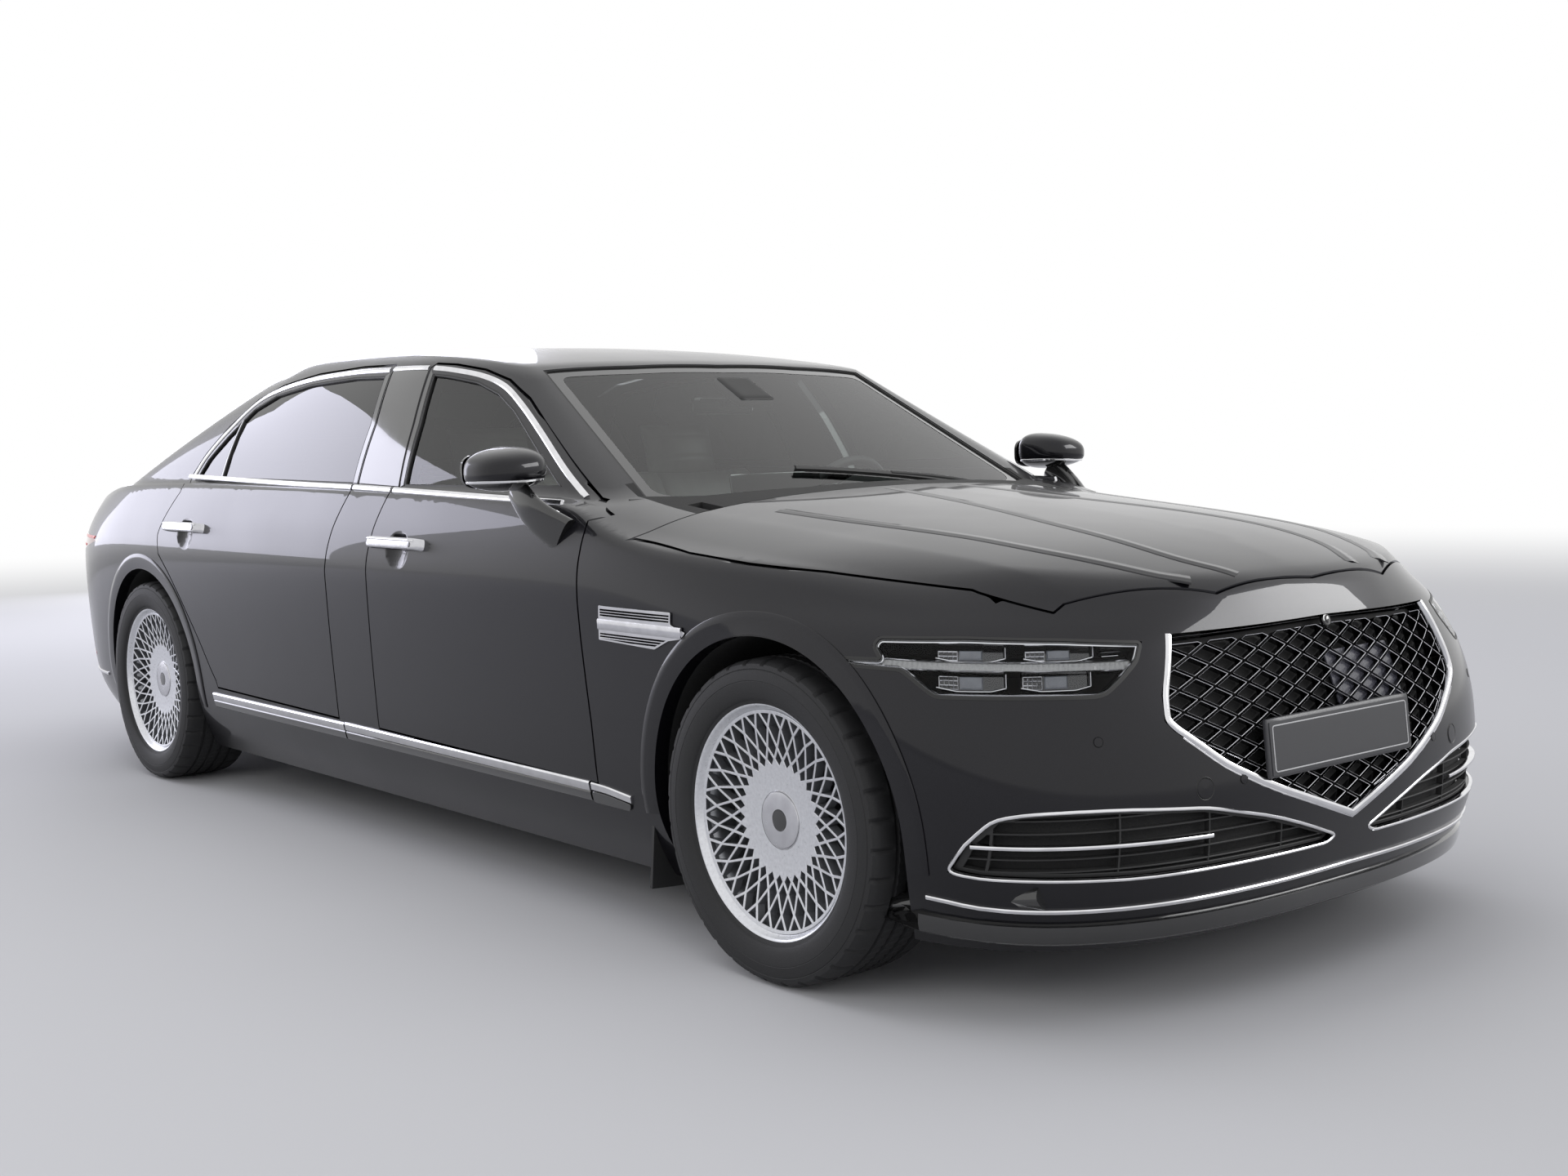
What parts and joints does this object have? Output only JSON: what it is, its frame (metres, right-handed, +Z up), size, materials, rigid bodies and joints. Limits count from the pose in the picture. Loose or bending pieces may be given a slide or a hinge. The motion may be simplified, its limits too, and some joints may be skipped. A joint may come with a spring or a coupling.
{
  "type": "sedan car",
  "caption": "Long-wheelbase luxury saloon car with hinged doors, bonnet and boot lid, mesh alloy wheels that spin, and steering.",
  "frame": {"origin": "on the ground under the middle of the car, halfway along its length", "axes": "+X forward, +Y to the car's left, +Z up"},
  "size_m": [5.4908, 2.16, 1.4771],
  "materials": {
    "paint": "gloss black metallic under clear coat",
    "bright_mesh": "bright and satin chrome on moulded mesh",
    "lamp_clear": "clear lamp lens",
    "lamp_red": "red lamp lens",
    "clear_glass": "clear laminated glass",
    "dark_glass": "dark tinted privacy glass",
    "underbody_black": "black sealed underside and liners",
    "dash_dark": "dark soft-touch trim",
    "seat_leather": "light grey-beige quilted leather",
    "engine_alloy": "cast alloy",
    "chassis_metal": "cast and forged steel",
    "exhaust_metal": "steel pipe",
    "wheel_alloy": "machined and lacquered alloy",
    "tyre_rubber": "black tyre rubber"
  },
  "bodies": {
    "body": {"floor_pan": "underbody_black", "roof": "paint", "front_bumper": "paint", "rear_bumper": "paint", "grille": "bright_mesh", "headlamps": "lamp_clear", "tail_lamps": "lamp_red", "windscreen": "clear_glass", "rear_window": "clear_glass", "inner_walls": "underbody_black", "dashboard": "dash_dark", "front_seats": "seat_leather", "rear_seats": "seat_leather", "engine_block": "engine_alloy", "front_suspension": "chassis_metal", "rear_suspension": "chassis_metal", "underbody": "exhaust_metal", "side_vents": "bright_mesh", "body_side_right": "paint", "body_side_left": "paint", "fender_right": "paint", "fender_left": "paint"},
    "bonnet": {"bonnet": "paint"},
    "boot_lid": {"boot_lid": "paint"},
    "steering_wheel": {"steering_wheel": "dash_dark"},
    "front_door_right": {"front_door_right": "paint", "front_door_glass_right": "clear_glass", "mirror_right": "paint", "front_door_handle_right": "bright_mesh"},
    "rear_door_right": {"rear_door_right": "paint", "rear_door_glass_right": "dark_glass", "rear_door_handle_right": "bright_mesh"},
    "knuckle_right": {"front_knuckle_right": "chassis_metal"},
    "front_wheel_right": {"front_rim_right": "wheel_alloy", "front_tyre_right": "tyre_rubber"},
    "rear_wheel_right": {"rear_rim_right": "wheel_alloy", "rear_tyre_right": "tyre_rubber"},
    "front_door_left": {"front_door_left": "paint", "front_door_glass_left": "clear_glass", "mirror_left": "paint", "front_door_handle_left": "bright_mesh"},
    "rear_door_left": {"rear_door_left": "paint", "rear_door_glass_left": "dark_glass", "rear_door_handle_left": "bright_mesh"},
    "knuckle_left": {"front_knuckle_left": "chassis_metal"},
    "front_wheel_left": {"front_rim_left": "wheel_alloy", "front_tyre_left": "tyre_rubber"},
    "rear_wheel_left": {"rear_rim_left": "wheel_alloy", "rear_tyre_left": "tyre_rubber"}
  },
  "joints": [
    {"name": "front_steer_right", "type": "hinge", "parent": "body", "child": "knuckle_right", "pos_m": [1.9275, -0.795, 0.3515], "axis": [0, 0, 1], "range_deg": [-33, 33]},
    {"name": "front_spin_right", "type": "hinge", "parent": "knuckle_right", "child": "front_wheel_right", "pos_m": [1.9275, -0.815, 0.3515], "axis": [0, 1, 0], "continuous": true},
    {"name": "rear_spin_right", "type": "hinge", "parent": "body", "child": "rear_wheel_right", "pos_m": [-1.5225, -0.817, 0.3515], "axis": [0, 1, 0], "continuous": true},
    {"name": "front_door_hinge_right", "type": "hinge", "parent": "body", "child": "front_door_right", "pos_m": [1.264, -0.959, 0.65], "axis": [0, 0, 1], "range_deg": [0, 65]},
    {"name": "rear_door_hinge_right", "type": "hinge", "parent": "body", "child": "rear_door_right", "pos_m": [-0.092, -0.959, 0.65], "axis": [0, 0, 1], "range_deg": [0, 68]},
    {"name": "front_steer_left", "type": "hinge", "parent": "body", "child": "knuckle_left", "pos_m": [1.9275, 0.795, 0.3515], "axis": [0, 0, 1], "range_deg": [-33, 33]},
    {"name": "front_spin_left", "type": "hinge", "parent": "knuckle_left", "child": "front_wheel_left", "pos_m": [1.9275, 0.815, 0.3515], "axis": [0, 1, 0], "continuous": true},
    {"name": "rear_spin_left", "type": "hinge", "parent": "body", "child": "rear_wheel_left", "pos_m": [-1.5225, 0.817, 0.3515], "axis": [0, 1, 0], "continuous": true},
    {"name": "front_door_hinge_left", "type": "hinge", "parent": "body", "child": "front_door_left", "pos_m": [1.264, 0.959, 0.65], "axis": [0, 0, -1], "range_deg": [0, 65]},
    {"name": "rear_door_hinge_left", "type": "hinge", "parent": "body", "child": "rear_door_left", "pos_m": [-0.092, 0.959, 0.65], "axis": [0, 0, -1], "range_deg": [0, 68]},
    {"name": "bonnet_hinge", "type": "hinge", "parent": "body", "child": "bonnet", "pos_m": [1.345, 0, 0.96], "axis": [0, -1, 0], "range_deg": [0, 45]},
    {"name": "boot_lid_hinge", "type": "hinge", "parent": "body", "child": "boot_lid", "pos_m": [-1.9605, 0, 1.09], "axis": [0, 1, 0], "range_deg": [0, 75]},
    {"name": "steering_wheel_turn", "type": "hinge", "parent": "body", "child": "steering_wheel", "pos_m": [0.693, 0.4, 0.934], "axis": [-0.9063, 0, 0.4226], "range_deg": [-475, 475]}
  ],
  "couplings": [
    {"joint": "front_steer_right", "follows": "front_steer_left", "ratio": 1},
    {"joint": "steering_wheel_turn", "follows": "front_steer_left", "ratio": 14}
  ]
}
